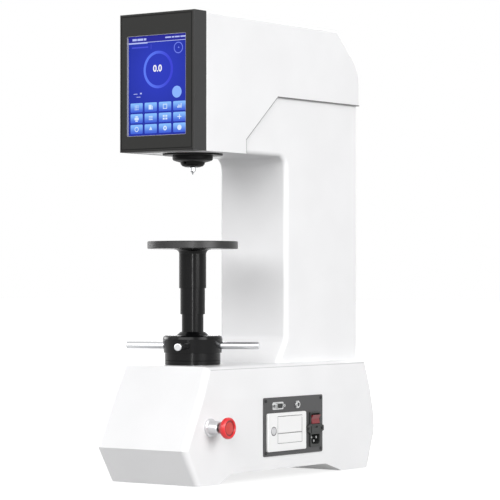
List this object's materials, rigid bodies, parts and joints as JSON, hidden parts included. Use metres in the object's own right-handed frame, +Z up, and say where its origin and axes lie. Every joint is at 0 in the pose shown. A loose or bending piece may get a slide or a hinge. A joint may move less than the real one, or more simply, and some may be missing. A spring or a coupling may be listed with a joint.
{
  "type": "hardness tester",
  "caption": "Bench-top C-frame hardness tester with touch screen, handwheel-driven elevating table, emergency stop and side panel with strip printer, sockets and mains inlet.",
  "frame": {"origin": "where the vertical spindle and screw axis meets the bench plane", "axes": "+Z up along the spindle axis; -Y the front with the screen; +X the side with the panel and the emergency stop"},
  "size_m": [0.2364, 0.5523, 0.765],
  "materials": {
    "casting_paint": "white semi-gloss enamel, fine orange peel",
    "cover_paint": "white semi-gloss powder coat",
    "bezel_plastic": "dark grey moulded plastic, satin",
    "touch_glass": "clear cover glass",
    "lcd": "lit colour display",
    "zinc_plate": "zinc plated sheet",
    "black_plate": "black anodised look, satin",
    "black_gloss": "blackened and lacquered steel, glossy",
    "table_steel": "blackened ground steel",
    "bar_chrome": "polished chrome",
    "ground_steel": "ground steel",
    "bush_bronze": "bearing bronze",
    "bare_aluminium": "machined aluminium",
    "black_rubber": "black rubber",
    "motor_black": "black motor enamel",
    "board_green": "green circuit board",
    "supply_case": "perforated sheet case",
    "panel_grey": "dark grey textured powder coat",
    "printer_white": "off-white moulded plastic",
    "button_grey": "light grey plastic",
    "paper": "thermal paper, stood in by a light plastic",
    "connector_metal": "bright nickel",
    "black_plastic": "black moulded plastic",
    "rocker_red": "translucent dark red plastic",
    "estop_red": "bright red moulded plastic",
    "collar_metal": "satin nickel"
  },
  "bodies": {
    "frame": {"base_housing": "casting_paint", "bezel": "bezel_plastic", "button_ring": "button_grey", "control_board": "board_green", "depth_encoder": "motor_black", "display_bracket": "zinc_plate", "drive_belt": "black_rubber", "estop_collar": "collar_metal", "estop_contacts": "black_plastic", "frame_column": "casting_paint", "guide_bush": "bush_bronze", "guide_rods": "ground_steel", "head_cover": "cover_paint", "indenter_housing": "black_plate", "inlet_housing": "black_plastic", "inlet_pins": "connector_metal", "inlet_screws": "connector_metal", "jack_screws": "connector_metal", "load_bracket": "zinc_plate", "panel_screws": "connector_metal", "power_supply": "supply_case", "printer_body": "printer_white", "rear_cover": "cover_paint", "rear_cover_screws": "connector_metal", "round_socket": "connector_metal", "screen_panel": "lcd", "serial_insert": "black_plastic", "serial_socket": "connector_metal", "side_panel": "panel_grey", "spindle_bush": "bush_bronze", "stepper_motor": "motor_black", "thrust_bearing": "ground_steel", "touch_glass": "touch_glass", "underside_plate": "black_plate"},
    "wheel": {"handwheel_hub": "black_gloss", "handwheel_ring": "black_gloss", "handwheel_bars": "bar_chrome", "lift_nut": "bush_bronze"},
    "lift": {"elevating_screw": "ground_steel", "test_table": "table_steel", "top_sleeve": "black_gloss"},
    "sleeve_mid": {"middle_sleeve": "black_gloss"},
    "sleeve_low": {"low_sleeve": "black_gloss"},
    "load_train": {"spindle": "ground_steel", "indenter": "bar_chrome", "indenter_screw": "ground_steel", "load_cell": "ground_steel", "crosshead": "bare_aluminium"},
    "screw_rotor": {"ball_screw": "ground_steel", "screw_pulley": "bare_aluminium"},
    "motor_rotor": {"motor_pulley": "bare_aluminium"},
    "estop_plunger": {"estop_stem": "black_plastic"},
    "estop_knob": {"estop_head": "estop_red"},
    "rocker": {"power_rocker": "rocker_red"},
    "fuse": {"fuse_drawer": "black_plastic"},
    "printer_lid": {"printer_door": "printer_white"},
    "platen": {"platen_roller": "black_rubber"},
    "catch": {"printer_button": "button_grey"},
    "roll": {"paper_roll": "paper"}
  },
  "joints": [
    {"name": "wheel_spin", "type": "hinge", "parent": "frame", "child": "wheel", "pos_m": [0, 0, 0.222], "axis": [0, 0, 1], "range_deg": [-6240, 2700]},
    {"name": "table_lift", "type": "slide", "parent": "frame", "child": "lift", "axis": [0, 0, 1], "range_m": [-0.045, 0.104]},
    {"name": "middle_sleeve_lift", "type": "slide", "parent": "frame", "child": "sleeve_mid", "axis": [0, 0, 1], "range_m": [-0.027, 0.0624]},
    {"name": "low_sleeve_lift", "type": "slide", "parent": "frame", "child": "sleeve_low", "axis": [0, 0, 1], "range_m": [-0.01125, 0.026]},
    {"name": "motor_spin", "type": "hinge", "parent": "frame", "child": "motor_rotor", "pos_m": [0, 0.14, 0.752], "axis": [0, 0, 1], "range_deg": [-360, 540]},
    {"name": "ball_screw_spin", "type": "hinge", "parent": "frame", "child": "screw_rotor", "pos_m": [0, 0, 0.752], "axis": [0, 0, 1], "range_deg": [-180, 270]},
    {"name": "load_slide", "type": "slide", "parent": "frame", "child": "load_train", "axis": [0, 0, 1], "range_m": [-0.003, 0.002]},
    {"name": "estop_push", "type": "slide", "parent": "frame", "child": "estop_plunger", "axis": [-1, 0, 0], "range_m": [0, 0.004], "stiffness_N_per_m": 1500},
    {"name": "estop_twist", "type": "hinge", "parent": "estop_plunger", "child": "estop_knob", "pos_m": [0.125, -0.074, 0.0933], "axis": [-1, 0, 0], "range_deg": [0, 45], "stiffness_Nm_per_rad": 0.2},
    {"name": "rocker_tilt", "type": "hinge", "parent": "frame", "child": "rocker", "pos_m": [0.093, 0.2173, 0.0939], "axis": [0, -1, 0], "range_deg": [0, 24]},
    {"name": "fuse_slide", "type": "slide", "parent": "frame", "child": "fuse", "axis": [1, 0, 0], "range_m": [0, 0.022]},
    {"name": "printer_door_hinge", "type": "hinge", "parent": "frame", "child": "printer_lid", "pos_m": [0.0961, 0.14145, 0.0997], "axis": [0, -1, 0], "range_deg": [0, 95]},
    {"name": "platen_spin", "type": "hinge", "parent": "printer_lid", "child": "platen", "pos_m": [0.0885, 0.14145, 0.0802], "axis": [0, 1, 0], "continuous": true},
    {"name": "catch_push", "type": "slide", "parent": "frame", "child": "catch", "axis": [-1, 0, 0], "range_m": [0, 0.0015], "stiffness_N_per_m": 800},
    {"name": "paper_roll_spin", "type": "hinge", "parent": "frame", "child": "roll", "pos_m": [0.064, 0.14145, 0.0858], "axis": [0, 1, 0], "continuous": true}
  ],
  "couplings": [
    {"joint": "table_lift", "follows": "wheel_spin", "m_per_rad": -0.00095493},
    {"joint": "middle_sleeve_lift", "follows": "wheel_spin", "m_per_rad": -0.00057296},
    {"joint": "low_sleeve_lift", "follows": "wheel_spin", "m_per_rad": -0.00023873},
    {"joint": "ball_screw_spin", "follows": "load_slide", "rad_per_m": -1570.8},
    {"joint": "motor_spin", "follows": "load_slide", "rad_per_m": -3141.6}
  ]
}
